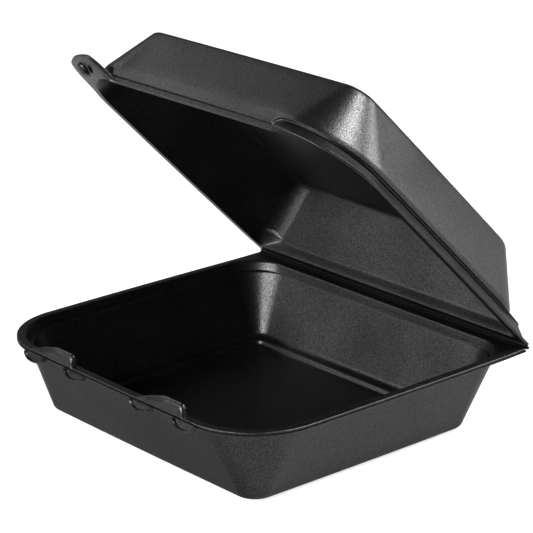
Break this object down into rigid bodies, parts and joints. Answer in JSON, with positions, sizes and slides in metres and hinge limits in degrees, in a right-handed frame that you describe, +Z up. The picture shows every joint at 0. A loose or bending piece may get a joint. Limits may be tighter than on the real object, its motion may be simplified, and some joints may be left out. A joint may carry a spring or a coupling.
{
  "type": "hinged foam takeaway container",
  "caption": "Black foam clamshell food container: square tray with a stepped rim and front latch tongues, and a domed lid standing half open on a rear fold hinge.",
  "frame": {"origin": "centre of the tray in plan, on the underside of its centre panel, where the container stands", "axes": "+X along the hinge, towards the right when the latches face the viewer; +Y from the latches to the hinge; +Z up"},
  "size_m": [0.235, 0.2259, 0.2149],
  "materials": {
    "foam": "satin"
  },
  "bodies": {
    "base": {"base_tray": "foam"},
    "lid": {"lid": "foam"}
  },
  "joints": [
    {"name": "lid_hinge", "type": "hinge", "parent": "base", "child": "lid", "pos_m": [0, 0.107, 0.05], "axis": [-1, 0, 0], "range_deg": [-44.7, 135.3]}
  ]
}
